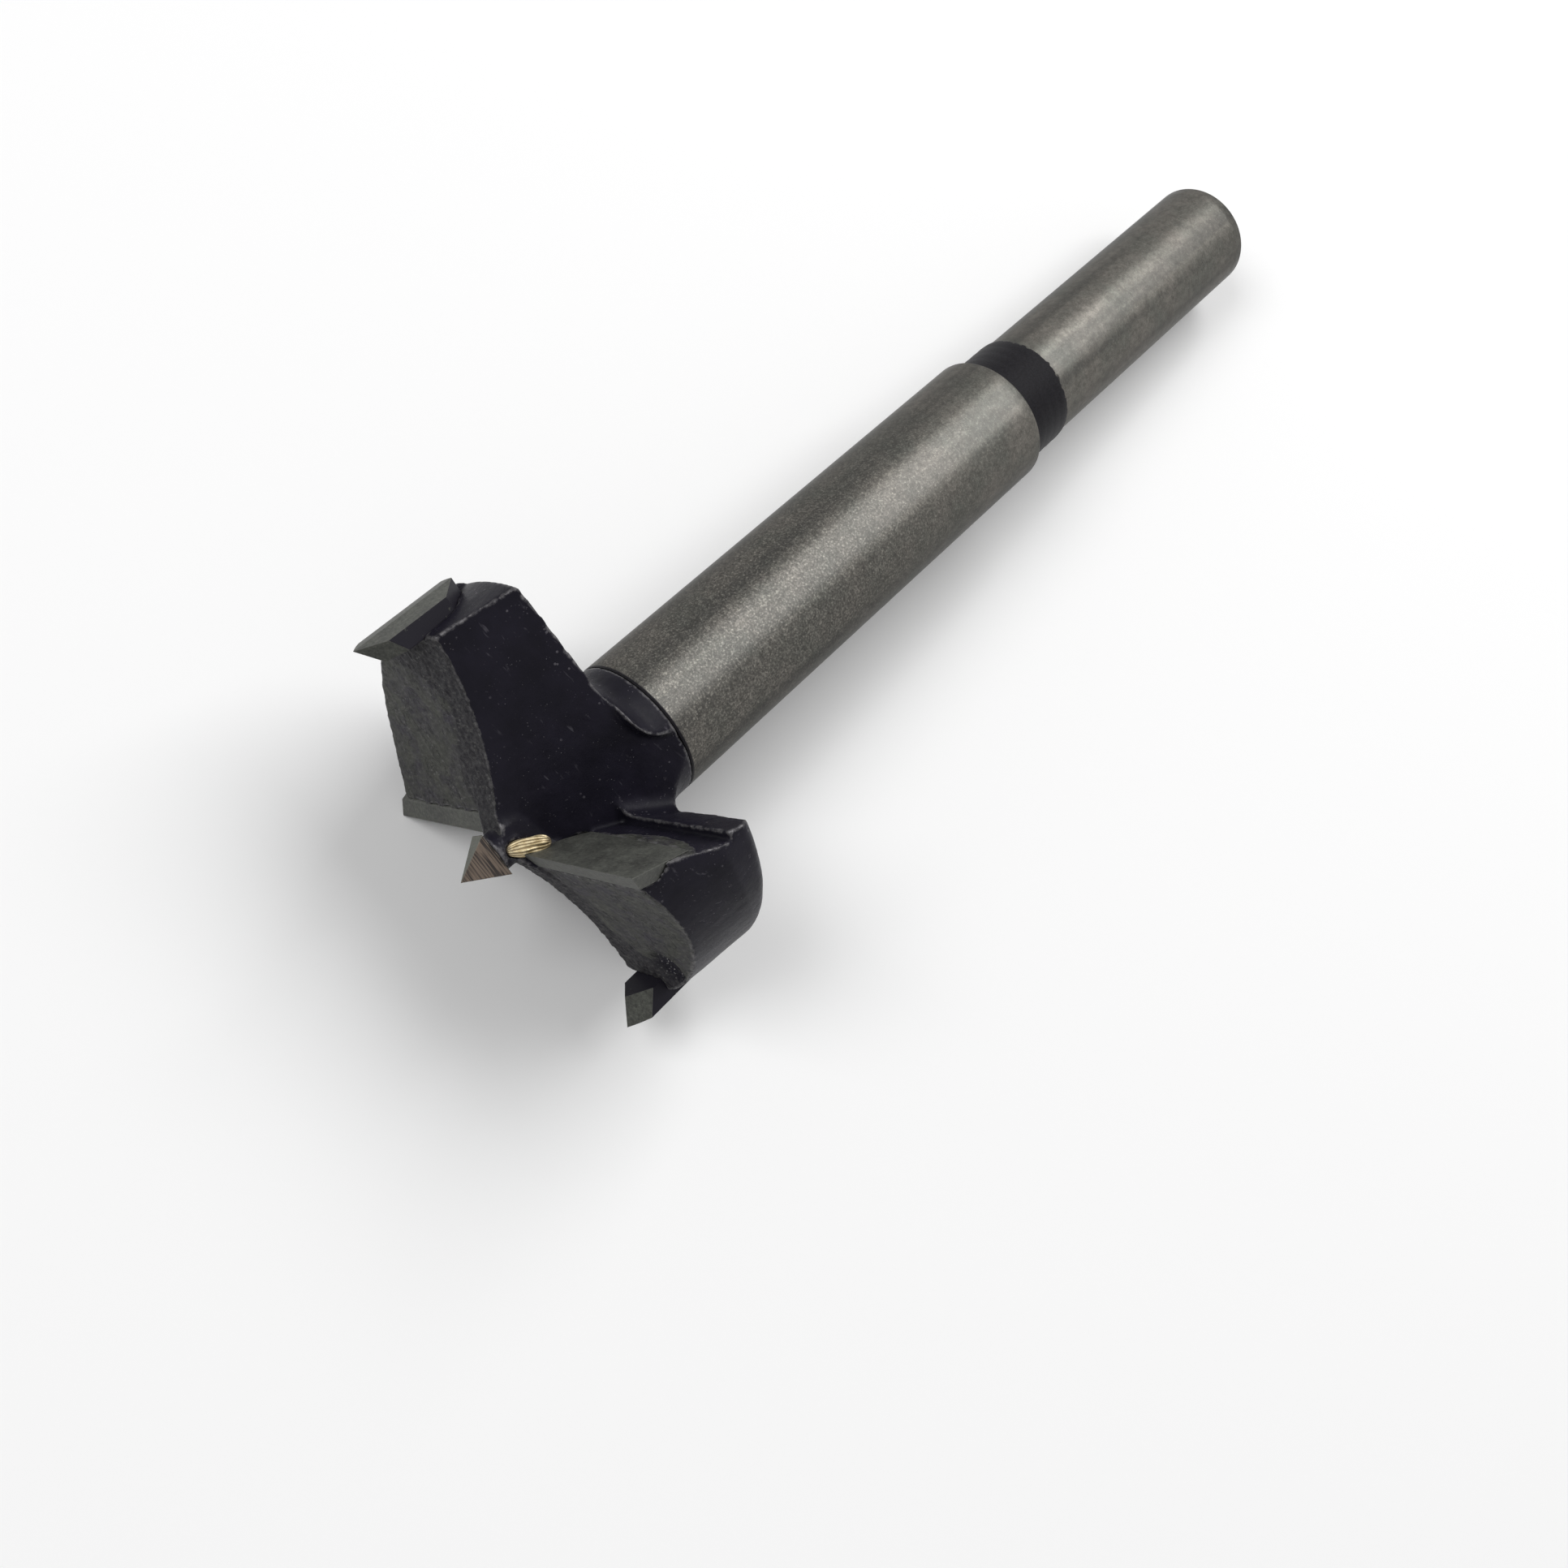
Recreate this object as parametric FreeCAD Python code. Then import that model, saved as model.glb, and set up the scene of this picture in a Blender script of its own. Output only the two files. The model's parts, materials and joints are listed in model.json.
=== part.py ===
import FreeCAD
import Part
import math
import os

# A carbide tipped forstner bit for hinge cups, lying as it comes to rest on a bench.
# It is drawn in the tool's own frame: Z is the axis, heights are measured from the plane of the
# spur tips towards the shank, and wing B's spur tip lies at +X. The tool cuts turning from +Y to +X.
# Wing A is wing B turned half a turn about the axis. Sizes are in mm and angles in degrees.

V = FreeCAD.Vector
AXIS = V(0, 0, 1)
ORIGIN = V(0, 0, 0)

# Whole tool
CUT_D = 35.0             # circle swept by the spur tips
OVERALL_L = 100.0        # from the centre point's tip to the shank's end
POINT_DROP = 3.65        # centre point's tip below the spur tips

# Turned stem
BODY_D = 11.8            # ground thick stretch, and the black neck under it
BODY_L = 45.9            # length of the ground thick stretch
BODY_CHAMFER = 0.45
GROOVE_D = 10.4          # unground stretch between the two ground ones
GROOVE_L = 4.9
SHANK_D = 10.0           # ground end that the chuck grips
SHANK_CHAMFER = 0.6
PAINT_H = 14.4           # height at which the ground thick stretch begins

# Head blank
RIM_INSET = 0.65         # rim of the steel inside the cut circle
RIM_TOP_H = 10.2         # height of the rim's upper edge
RIM_ROUND = 0.9          # rounding of that edge
TOP_SLOPE = 6.4          # rise of the wings' backs towards the neck
NECK_FILLET = 1.8
BLANK_BOTTOM_H = -0.2    # lowest steel of the web
BOSS_D = 3.0             # boss round the centre point's stub
BOSS_DROP = 0.35         # its lower end below the web, where the point's facets begin
BOSS_L = 1.8             # its straight part
BOSS_FADE_L = 1.3        # length over which it then runs into the web
BOSS_TOP_D = 1.6

# Hollow-ground floor of each wing
WHEEL_R = 32.0           # grinding wheel that leaves it
FLOOR_H = 3.7            # height of the deepest place
FLOOR_X = 15.6           # distance of that place from the axis
HEEL_TILT = 4.0          # rise of the heel, ground after the floor, towards the trailing side
HEEL_Y = -1.5            # where the heel begins

# Relief of the rim behind each cutting wall, left by a round surface that is tilted
RELIEF_TILT = 24.0
RELIEF_TURN = -105.0     # side towards which it takes most off
TRAIL_RIM_R = 15.6       # radius of the rim on the trailing side, at the height of the spur tips
TRAIL_RIM_TAPER = 4.5    # the rim widens by this angle towards the back
TRAIL_RIM_Y = -1.0       # it begins here, behind the spur plate

# Flutes: the trailing wall is flat, the leading wall is twisted a little
TRAIL_OFFSET = 0.17      # from the axis to the trailing wall, at the height of the spur tips
TRAIL_TURN = 6.1         # the wall's turn against the X axis, seen along the tool
TRAIL_LEAN = 21.4        # the wall's lean from the tool's axis
LEAD_LOW_X = -2.1        # leading wall where it passes the axis, at the height of the spur tips
LEAD_LOW_TURN = 17.4     # its turn against the Y axis there
LEAD_HIGH_X = 8.0        # the same two at the height where the ground stem begins
LEAD_HIGH_TURN = -5.5
ROOT_R = 1.6             # rounding where the two walls meet
RUNOUT_L = 1.1           # the flute runs out on the neck over this length
LIP_R = 3.6              # rounding of the lip that the flute leaves on the neck
LIP_X = -3.4             # centre of that rounding

# Lifters
EDGE_H = 0.73            # cutting edges above the spur tips
EDGE_X = 0.74            # where the edge's line passes the axis
EDGE_TURN = 4.5          # turn of the edge against the Y axis
HOOK = 21.3              # lean of the rake face
LAND_RELIEF = 16.5       # rise of the land behind the edge
LAND_BACK_X = 6.0        # the land's grinding ends before this distance from the axis
LIFTER_T = 1.2
LIFTER_H = 5.5           # height of the plate
LIFTER_INNER = 1.6       # inner end of the plate, from the axis
LIFTER_INSET = 1.45      # outer end of the plate inside the cut circle
RAKE_INNER = 1.35        # inner end of the ground rake face
LIFTER_END_RELIEF = 32.0
RAKE_TOP_H = 8.2         # top of the ground rake face

# Spurs
SPUR_T = 1.85            # thickness of the plate along the radius
SPUR_LEAD_W = 2.0        # from the tip to the leading side
SPUR_TRAIL_W = 2.05      # from the tip to the trailing side
SPUR_TOP_H = 9.0
SPUR_CORNER = 2.0        # corner cut off the top of the trailing side
SPUR_LEAD_BEVEL = 32.0   # rise of the two bevels from the tip, round the rim
SPUR_TRAIL_BEVEL = 36.0
SPUR_LEAD_BACK = 40.0    # rise of the same two bevels from the tip, inwards
SPUR_TRAIL_BACK = 32.0
SPUR_OUTER_RELIEF = 13.5 # turn of the outer face behind the tip

# Centre point
POINT_W = 3.6            # width along X where the facets end
POINT_THICK = 1.9        # width along Y there
POINT_L = 3.1            # height of the facets
POINT_STUB_D = 2.0       # round stub that is let into the boss
POINT_STUB_L = 2.0
POINT_TURN = -6.0

# Bead of bare braze at the inner end of lifter B, half sunk in the rake face
BRAZE_D = 1.3
BRAZE_START = (0.30, -1.45, 0.55)
BRAZE_END = (1.10, -2.05, 2.35)

# Lying at rest
DOWN_TURN = 60.0         # the side of the tool that faces the bench, the middle of the lower flute

# Worked out from the sizes above
CUT_R = CUT_D / 2
RIM_R = CUT_R - RIM_INSET
BODY_R = BODY_D / 2
SHANK_END_H = OVERALL_L - POINT_DROP
BODY_TOP_H = PAINT_H + BODY_L
GROOVE_TOP_H = BODY_TOP_H + GROOVE_L
REACH = 2 * CUT_D        # larger than the head, for the cutting shapes


def tan(angle):
    return math.tan(math.radians(angle))


def sin(angle):
    return math.sin(math.radians(angle))


def cos(angle):
    return math.cos(math.radians(angle))


def half_turn(shape):
    """The same shape on the other wing."""
    turned = shape.copy()
    turned.rotate(ORIGIN, AXIS, 180)
    return turned


def half_space(point, outward):
    """A large block whose one face passes through the point, on the side that outward gives."""
    block = Part.makeBox(REACH, REACH, REACH, V(-REACH / 2, -REACH / 2, 0))
    block.Placement = FreeCAD.Placement(point, FreeCAD.Rotation(AXIS, outward))
    return block


def slab(low_h, high_h, low_x, high_x, low_y, high_y):
    size = (high_x - low_x, high_y - low_y, high_h - low_h)
    return Part.makeBox(*size, V(low_x, low_y, low_h))


def top_h(radius):
    """Height of the wings' sloping backs at a radius."""
    return RIM_TOP_H + (RIM_R - radius) * tan(TOP_SLOPE)


def turned_blank():
    """The stem, the head's disc and the boss, as they are before the flutes are cut."""
    slope = V(-cos(TOP_SLOPE), 0, sin(TOP_SLOPE))
    rim_corner = V(RIM_R, 0, RIM_TOP_H)
    rim_low = rim_corner - V(0, 0, RIM_ROUND)
    rim_high = rim_corner + slope * RIM_ROUND
    rim_mid = (rim_low + rim_high) * 0.5 + (rim_corner - (rim_low + rim_high) * 0.5) * 0.42
    root = V(BODY_R, 0, top_h(BODY_R))
    root_low = root - slope * NECK_FILLET
    root_high = root + V(0, 0, NECK_FILLET)
    root_mid = (root_low + root_high) * 0.5 + (root - (root_low + root_high) * 0.5) * 0.42
    stem = [
        root_high,
        V(BODY_R, 0, BODY_TOP_H - BODY_CHAMFER),
        V(BODY_R - BODY_CHAMFER, 0, BODY_TOP_H),
        V(GROOVE_D / 2, 0, BODY_TOP_H),
        V(GROOVE_D / 2, 0, GROOVE_TOP_H),
        V(SHANK_D / 2, 0, GROOVE_TOP_H),
        V(SHANK_D / 2, 0, SHANK_END_H - SHANK_CHAMFER),
        V(SHANK_D / 2 - SHANK_CHAMFER, 0, SHANK_END_H),
        V(0, 0, SHANK_END_H),
        V(0, 0, BLANK_BOTTOM_H),
        V(RIM_R, 0, BLANK_BOTTOM_H),
        rim_low,
    ]
    edges = [Part.makeLine(a, b) for a, b in zip(stem[:-1], stem[1:])]
    edges.append(Part.Arc(rim_low, rim_mid, rim_high).toShape())
    edges.append(Part.makeLine(rim_high, root_low))
    edges.append(Part.Arc(root_low, root_mid, root_high).toShape())
    profile = Part.Face(Part.Wire(Part.__sortEdges__(edges)))
    return profile.revolve(ORIGIN, AXIS, 360)


def lead_wall(height):
    """Where the leading wall passes the axis at a height, and its turn."""
    share = height / PAINT_H
    x = LEAD_LOW_X + share * (LEAD_HIGH_X - LEAD_LOW_X)
    slope = tan(LEAD_LOW_TURN) + share * (tan(LEAD_HIGH_TURN) - tan(LEAD_LOW_TURN))
    return x, math.degrees(math.atan(slope))


def flute_section(height):
    """The flute's outline at a height: two walls, the rounding between them, and the outside."""
    lead_x, lead_turn = lead_wall(height)
    trail_y = -(TRAIL_OFFSET + height * tan(TRAIL_LEAN)) / cos(TRAIL_TURN)
    along_trail = V(-cos(TRAIL_TURN), -sin(TRAIL_TURN), 0)
    along_lead = V(sin(lead_turn), -cos(lead_turn), 0)
    # the walls are y = trail_y + x tan(TRAIL_TURN) and x = lead_x - y tan(lead_turn)
    corner_x = (lead_x - trail_y * tan(lead_turn)) / (1 + tan(TRAIL_TURN) * tan(lead_turn))
    corner = V(corner_x, trail_y + corner_x * tan(TRAIL_TURN), height)
    half_angle = along_trail.getAngle(along_lead) / 2
    from_corner = ROOT_R / math.tan(half_angle)
    bisector = (along_trail + along_lead).normalize()
    near_trail = corner + along_trail * from_corner
    near_lead = corner + along_lead * from_corner
    middle = corner + bisector * (ROOT_R / math.sin(half_angle) - ROOT_R)
    far_trail = corner + along_trail * REACH
    far_lead = corner + along_lead * REACH
    far = corner + (along_trail + along_lead) * REACH
    return Part.Wire([
        Part.makeLine(far_trail, near_trail),
        Part.Arc(near_trail, middle, near_lead).toShape(),
        Part.makeLine(near_lead, far_lead),
        Part.makeLine(far_lead, far),
        Part.makeLine(far, far_trail),
    ])


def flute():
    """What is milled away in front of wing B, stopped where it runs out on the neck."""
    sections = [flute_section(BLANK_BOTTOM_H - 1), flute_section(PAINT_H + 1)]
    cutter = Part.makeLoft(sections, True, True)
    cone = Part.makeCone(BODY_R - RUNOUT_L, BODY_R, RUNOUT_L, V(0, 0, PAINT_H - RUNOUT_L))
    stem = Part.makeCylinder(BODY_R + 1, REACH, V(0, 0, PAINT_H))
    lip_h = top_h(BODY_R) + LIP_R
    lip = Part.makeCylinder(LIP_R, REACH, V(LIP_X, -REACH / 2, lip_h), V(0, 1, 0))
    beside = slab(lip_h - LIP_R, REACH, -REACH, LIP_X, -REACH, REACH)
    return cutter.cut([cone, stem, lip, beside])


def floor_wheel(tilt):
    """The grinding wheel under wing B, whose round face leaves the hollow floor or its heel."""
    along = V(0, cos(tilt), sin(tilt))
    centre = V(FLOOR_X, HEEL_Y, FLOOR_H) - V(0, -sin(tilt), cos(tilt)) * WHEEL_R
    return Part.makeCylinder(WHEEL_R, 2 * REACH, centre - along * REACH, along)


def rim_relief():
    """What the rim of wing B loses behind the cutting wall."""
    away = V(cos(RELIEF_TURN), sin(RELIEF_TURN), 0)
    along = (AXIS + away * tan(RELIEF_TILT)).normalize()
    start = V(0, 0, RIM_TOP_H) - along * REACH
    keep = Part.makeCylinder(RIM_R, 2 * REACH, start, along)
    quarter = slab(BLANK_BOTTOM_H - 1, RIM_TOP_H, 0, REACH, -REACH, 0)
    return quarter.cut(keep)


def trailing_rim():
    """What the rim of wing B loses on the trailing side of its spur."""
    low_h = BLANK_BOTTOM_H - 1
    quarter = slab(low_h, PAINT_H, 0, REACH, TRAIL_RIM_Y, REACH)
    low_r = TRAIL_RIM_R + low_h * tan(TRAIL_RIM_TAPER)
    high_r = TRAIL_RIM_R + PAINT_H * tan(TRAIL_RIM_TAPER)
    return quarter.cut(Part.makeCone(low_r, high_r, PAINT_H - low_h, V(0, 0, low_h)))


def edge_point(y):
    """A point of wing B's cutting edge."""
    return V(EDGE_X - y * tan(EDGE_TURN), y, EDGE_H)


def edge_directions():
    """Unit directions of wing B's lifter: outwards along the edge, up the rake face, backwards."""
    out = V(sin(EDGE_TURN), -cos(EDGE_TURN), 0)
    back_level = V(cos(EDGE_TURN), sin(EDGE_TURN), 0)
    up = AXIS * cos(HOOK) + back_level * sin(HOOK)
    back = back_level * cos(HOOK) - AXIS * sin(HOOK)
    return out, up, back, back_level


def rake_cut():
    """What grinding the rake face takes off the steel in front of it, inside the flute."""
    out, up, back, back_level = edge_directions()
    front = half_space(edge_point(-RAKE_INNER), back * -1)
    room = slab(BLANK_BOTTOM_H - 1, RAKE_TOP_H, -REACH, REACH, -REACH, -RAKE_INNER)
    away = V(sin(TRAIL_TURN), -cos(TRAIL_TURN), 0)
    in_flute = half_space(away * TRAIL_OFFSET, away * cos(TRAIL_LEAN) - AXIS * sin(TRAIL_LEAN))
    return front.common(room).common(in_flute)


def land_cut():
    """What grinding the land behind the edge takes off the steel under the plate."""
    room = slab(BLANK_BOTTOM_H - 1, RAKE_TOP_H, 0, LAND_BACK_X, -REACH, -LIFTER_INNER)
    return half_space(edge_point(0), land_normal()).common(room)


def land_normal():
    back_level = edge_directions()[3]
    return back_level * sin(LAND_RELIEF) - AXIS * cos(LAND_RELIEF)


def lifter():
    """Wing B's carbide plate, with its land ground behind the edge."""
    out, up, back, back_level = edge_directions()
    foot = edge_point(-LIFTER_INNER) - up * LIFTER_H
    length = 2 * CUT_R
    corners = [foot, foot + out * length, foot + out * length + back * LIFTER_T,
               foot + back * LIFTER_T, foot]
    plate = Part.Face(Part.makePolygon(corners)).extrude(up * (2 * LIFTER_H))
    below = half_space(edge_point(0), land_normal())
    inside = Part.makeCylinder(CUT_R - LIFTER_INSET, REACH, V(0, 0, -REACH / 2))
    corner = edge_point(0) + out * (CUT_R - LIFTER_INSET)
    behind = half_space(corner, out * cos(LIFTER_END_RELIEF) + back_level * sin(LIFTER_END_RELIEF))
    return plate.common(inside).cut([below, behind])


def spur():
    """Wing B's scribing plate, let into the rim and bevelled to a point at the cut circle."""
    block = slab(-1, SPUR_TOP_H, CUT_R - SPUR_T, CUT_R + 1, -SPUR_LEAD_W, SPUR_TRAIL_W)
    tip = V(CUT_R, 0, 0)
    lead = V(-tan(SPUR_LEAD_BACK), -tan(SPUR_LEAD_BEVEL), -1)
    trail = V(-tan(SPUR_TRAIL_BACK), tan(SPUR_TRAIL_BEVEL), -1)
    inside = Part.makeCylinder(CUT_R, REACH, V(0, 0, -REACH / 2))
    corner = half_space(V(CUT_R, SPUR_TRAIL_W - SPUR_CORNER, SPUR_TOP_H), V(0, 1, 1))
    behind = half_space(tip, V(cos(SPUR_OUTER_RELIEF), sin(SPUR_OUTER_RELIEF), 0))
    bevels = [half_space(tip, lead), half_space(tip, trail)]
    return block.common(inside).cut(bevels + [corner, behind])


def centre_point():
    """The faceted point and the stub that seats it in the web."""
    base_h = POINT_L - POINT_DROP
    half_w = POINT_W / 2
    half_t = POINT_THICK / 2
    tip = V(0, 0, -POINT_DROP)
    ring = [V(x, y, base_h) for x, y in ((half_w, -half_t), (half_w, half_t),
                                         (-half_w, half_t), (-half_w, -half_t))]
    sides = [Part.Face(Part.makePolygon([tip, a, b, tip]))
             for a, b in zip(ring, ring[1:] + ring[:1])]
    lid = Part.Face(Part.makePolygon(ring + ring[:1]))
    facets = Part.Solid(Part.makeShell(sides + [lid]))
    stub = Part.makeCylinder(POINT_STUB_D / 2, POINT_STUB_L, V(0, 0, base_h))
    point = facets.fuse(stub).removeSplitter()
    point.rotate(ORIGIN, AXIS, POINT_TURN)
    return point


def braze(lifter_b, point):
    """The bead between the inner end of lifter B and the web, round at both ends."""
    start, end = V(*BRAZE_START), V(*BRAZE_END)
    bead = Part.makeCylinder(BRAZE_D / 2, (end - start).Length, start, end - start)
    ends = [Part.makeSphere(BRAZE_D / 2, point) for point in (start, end)]
    return bead.fuse(ends).removeSplitter().cut([lifter_b, point])


def boss():
    """The lump round the centre point's stub, straight first and then running into the web."""
    low = V(0, 0, BLANK_BOTTOM_H - BOSS_DROP)
    straight = Part.makeCylinder(BOSS_D / 2, BOSS_L, low)
    fading = Part.makeCone(BOSS_D / 2, BOSS_TOP_D / 2, BOSS_FADE_L, low + AXIS * BOSS_L)
    return straight.fuse(fading)


def body(inlays):
    """The one steel piece, with the seats of the inlaid carbides cut by the carbides themselves."""
    one_wing = [flute(), floor_wheel(0), floor_wheel(HEEL_TILT), rim_relief(), trailing_rim(),
                rake_cut(), land_cut()]
    steel = turned_blank().cut(one_wing + [half_turn(cut) for cut in one_wing])
    return steel.fuse(boss()).cut(inlays)


def tool_pieces():
    """Every piece in the tool's own frame."""
    lifter_b = lifter()
    spur_b = spur()
    point = centre_point()
    pieces = {
        "lifter_a": half_turn(lifter_b),
        "lifter_b": lifter_b,
        "spur_a": half_turn(spur_b),
        "spur_b": spur_b,
        "centre_point": point,
    }
    pieces["braze_fillet"] = braze(lifter_b, point)
    pieces["body"] = body(list(pieces.values()))
    return {name: shape.Solids[0] for name, shape in pieces.items()}


def farthest(points, down, side=None):
    """The point that lies lowest, of those on one side only if a side is given."""
    if side is not None:
        points = [p for p in points if p.dot(side) > 0]
    return max(points, key=lambda p: p.dot(down))


def rest_direction(points):
    """The way down when the tool lies on both wings of one flute and on its shank's end."""
    head = [p for p in points if p.z < PAINT_H]
    shank = [p for p in points if p.z > GROOVE_TOP_H]
    down = V(cos(DOWN_TURN), sin(DOWN_TURN), 0)
    to_wing_a = V(-sin(DOWN_TURN), cos(DOWN_TURN), 0)
    for step in range(20):
        wing_a = farthest(head, down, to_wing_a)
        wing_b = farthest(head, down, to_wing_a * -1)
        end = farthest(shank, down)
        down = (wing_a - end).cross(wing_b - end).normalize()
        if down.dot(to_wing_a.cross(AXIS)) < 0:
            down = down * -1
    return down


def lie_down(pieces):
    """The pieces at rest on the bench, the shank towards +X and the origin under the middle."""
    points = [p for shape in pieces.values() for p in shape.tessellate(0.03)[0]]
    down = rest_direction(points)
    along = (AXIS - down * AXIS.dot(down)).normalize()
    turn = FreeCAD.Rotation(along, down.cross(along) * -1, down * -1, "XZY").inverted()
    turned = [turn.multVec(p) for p in points]
    middle = [(min(values) + max(values)) / 2 for values in zip(*turned)]
    shift = V(-middle[0], -middle[1], -min(p.z for p in turned))
    place = FreeCAD.Placement(shift, turn)
    return {name: moved(shape, place) for name, shape in pieces.items()}


def moved(shape, place):
    there = shape.copy()
    there.Placement = place.multiply(there.Placement)
    return there


def build():
    return lie_down(tool_pieces())


if __name__ == "__main__":
    os.makedirs("parts", exist_ok=True)
    for name, shape in build().items():
        shape.exportStep("parts/" + name + ".step")
        print(name, shape.isValid(), len(shape.Solids), round(shape.Volume, 1), shape.ShapeType)
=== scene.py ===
import json
import math

import bmesh
import bpy
import numpy as np
from mathutils import Matrix, Vector, noise


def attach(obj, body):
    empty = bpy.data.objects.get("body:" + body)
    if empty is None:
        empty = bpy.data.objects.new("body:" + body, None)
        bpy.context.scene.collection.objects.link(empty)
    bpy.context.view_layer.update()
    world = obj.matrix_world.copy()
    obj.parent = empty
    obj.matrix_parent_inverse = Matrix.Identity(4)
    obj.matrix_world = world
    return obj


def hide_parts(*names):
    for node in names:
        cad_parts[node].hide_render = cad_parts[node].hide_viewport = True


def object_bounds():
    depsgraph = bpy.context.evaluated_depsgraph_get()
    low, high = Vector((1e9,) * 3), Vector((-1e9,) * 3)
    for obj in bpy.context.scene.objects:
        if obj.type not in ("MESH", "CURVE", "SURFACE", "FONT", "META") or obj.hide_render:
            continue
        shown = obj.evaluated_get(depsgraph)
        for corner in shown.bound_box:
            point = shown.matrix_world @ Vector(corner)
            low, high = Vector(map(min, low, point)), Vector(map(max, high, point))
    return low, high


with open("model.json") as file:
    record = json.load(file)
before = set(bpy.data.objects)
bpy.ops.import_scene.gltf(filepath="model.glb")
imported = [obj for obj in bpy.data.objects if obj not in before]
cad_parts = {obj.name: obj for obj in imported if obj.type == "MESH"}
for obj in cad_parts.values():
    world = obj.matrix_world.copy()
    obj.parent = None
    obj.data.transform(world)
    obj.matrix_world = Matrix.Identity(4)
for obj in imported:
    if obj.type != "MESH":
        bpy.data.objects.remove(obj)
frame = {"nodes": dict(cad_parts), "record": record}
cad_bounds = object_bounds()

# The tool's own frame: Z along the axis, heights from the spur tips towards the shank, in mm.
# It is placed by the record's shank mount and the turn of the tool about its axis.
MM = 0.001
MM_PER_M = 1000
MOUNT_H = 80.775
ROLL = 27.99

# In metres: how near two points of the body count as one, and how far inside the solid
# model's box each mesh stays
WELD_DISTANCE = 1e-6
BOX_MARGIN = 1e-6

# Heights and radii of the stem
PAINT_H = 14.4
BODY_TOP_H = 60.3
GROOVE_TOP_H = 65.2
SHANK_END_H = 96.35
BODY_R = 5.9
GROOVE_R = 5.2
SHANK_R = 5.0

# Rings at the ends of the stem's stretches: how far inwards and upwards each one lies from
# the radius and height it belongs to
STEM_START = ((0.04, -0.02), (0.0, 0.10))
BODY_CHAMFER = ((0.03, -0.44), (0.44, -0.03), (0.50, 0.0))
GROOVE_START = ((-0.12, 0.0), (0.0, 0.15))
GROOVE_END = ((0.03, -0.05),)
SHANK_START = ((0.0, 0.0),)
SHANK_CHAMFER = ((0.05, -0.60), (0.56, -0.04), (0.64, 0.0))

# Straight stretches of the stem: start above the height below them, length and steps
BODY_RUN = (0.12, 45.2, 40)
GROOVE_RUN = (0.4, 4.3, 12)
SHANK_RUN = (0.1, 30.35, 30)

# Points round the stem, the bend above which its edges stay crisp, and the waves in the
# radius of the unground groove, with their turn from ring to ring
STEM_SEGMENTS = 128
CREASE_DEG = 30.0
GROOVE_WAVE = 0.015
GROOVE_WAVE_TURN = 4.1

# The circle that the floors are ground to, seen across the tool, and the slope with which
# they rise behind FALL_Y
GRIND_X = 15.6
GRIND_H = -28.3
GRIND_R = 32.0
FALL_Y = -1.5
FALL_SLOPE = 0.07

# What counts as floor: how near it lies to that circle, how far its face points down, and
# how far it stays from the middle and from the spur tips
FLOOR_REACH = 0.30
FLOOR_FACING = -0.55
FLOOR_CLEAR = 0.2

# The crease between the floor and its heel on wing B, seen along the tool
HEEL_X = (1.9, 3.7, 5.1, 6.8, 8.6, 10.4, 11.8, 13.2, 14.6)
HEEL_Y = (-2.0, -2.25, -2.2, -2.0, -0.8, 0.0, -0.9, -2.3, -5.4)
HEEL_SOFT = 0.25

# The leaning rake face in front of each lifter: its place, its lean and its top
RAKE_X = 0.74
RAKE_SPLAY = 0.079
RAKE_H = 0.73
RAKE_LEAN = 0.39
RAKE_TOP_H = 7.3
RAKE_REACH = 0.35
RAKE_FACING = -0.6

# The oval ground on the rake face: its middle and half sizes, outwards and upwards, and the
# shares of them between which it fades
OVAL_MIDDLE = (10.0, 2.6)
OVAL_HALF = (8.0, 4.4)
OVAL_FADE = (1.08, 0.92)

# Rough hollow in the floor of wing B, next to its spur
POCKET_AT = (14.3, -4.5, 4.0)
POCKET_R = 1.6
POCKET_FADE = (1.35, 0.65)
POCKET_DEPTH = 0.40

# Skin of the head: the size of its grid, the softening of its edges, the turns that even
# out its shares, and the bend that gives full wear with a painted highlight on edges and full painted
# shade in hollows
VOXEL = 0.17
EDGE_SOFTENING = 0.5
EDGE_TURNS = 2
SHARE_TURNS = 2
BEND_FOR_WEAR_AND_SHADE = 0.018

# Relief of the head's skin: depths of the waves, lumps and grain on the ground floors, on
# their torn heels, in the pocket and on the paint
GROUND_WAVE = 0.075
GROUND_LUMPS = 0.030
TORN_LUMPS = 0.085
TORN_GRAIN = 0.060
TORN_DROP = 0.04
POCKET_LUMPS = 0.10
POCKET_GRAIN = 0.16
PAINT_WAVE = 0.020
PAINT_LUMPS = 0.010

# Scales of that relief, per mm, and the height over which it runs out below the neck
GROUND_WAVE_SCALE = (0.55, 0.30, 0.55)
PAINT_WAVE_SCALE = 0.55
LUMP_SCALE = 2.2
GRAIN_SCALE = 4.5
RELIEF_FADE = 1.0

# Braze bead: its ends and radius, its grid, and its lengthwise ridges and lumps
BRAZE_START = (0.30, -1.45, 0.55)
BRAZE_END = (1.10, -2.05, 2.35)
BRAZE_R = 0.65
BEAD_ROWS = 40
BEAD_COLUMNS = 120
BEAD_FILL = 0.96
BEAD_RIDGES = 13
RIDGE_DEPTH = 0.055
RIDGE_SWAY = 0.22
BEAD_LUMPS = 0.20

# Camera, worked out from the outlines of the tool in the photo, in the tool's frame
CAMERA_AT = (-35.467, -103.882, -34.963)
CAMERA_RIGHT = (0.49522, -0.58383, 0.64335)
CAMERA_DOWN = (0.78600, -0.01436, -0.61806)
CAMERA_AHEAD = (0.37008, 0.81175, 0.45178)
LENS = 36.11
SENSOR_WIDTH = 36.0
CLIP_START = 0.001

# Floor, in metres: its half width, how far it lies below the tool, and the distances from
# the middle between which it turns into the white background
FLOOR_HALF = 3.0
FLOOR_DROP = 0.0001
FADE_NEAR = 0.10
FADE_FAR = 0.30

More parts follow.
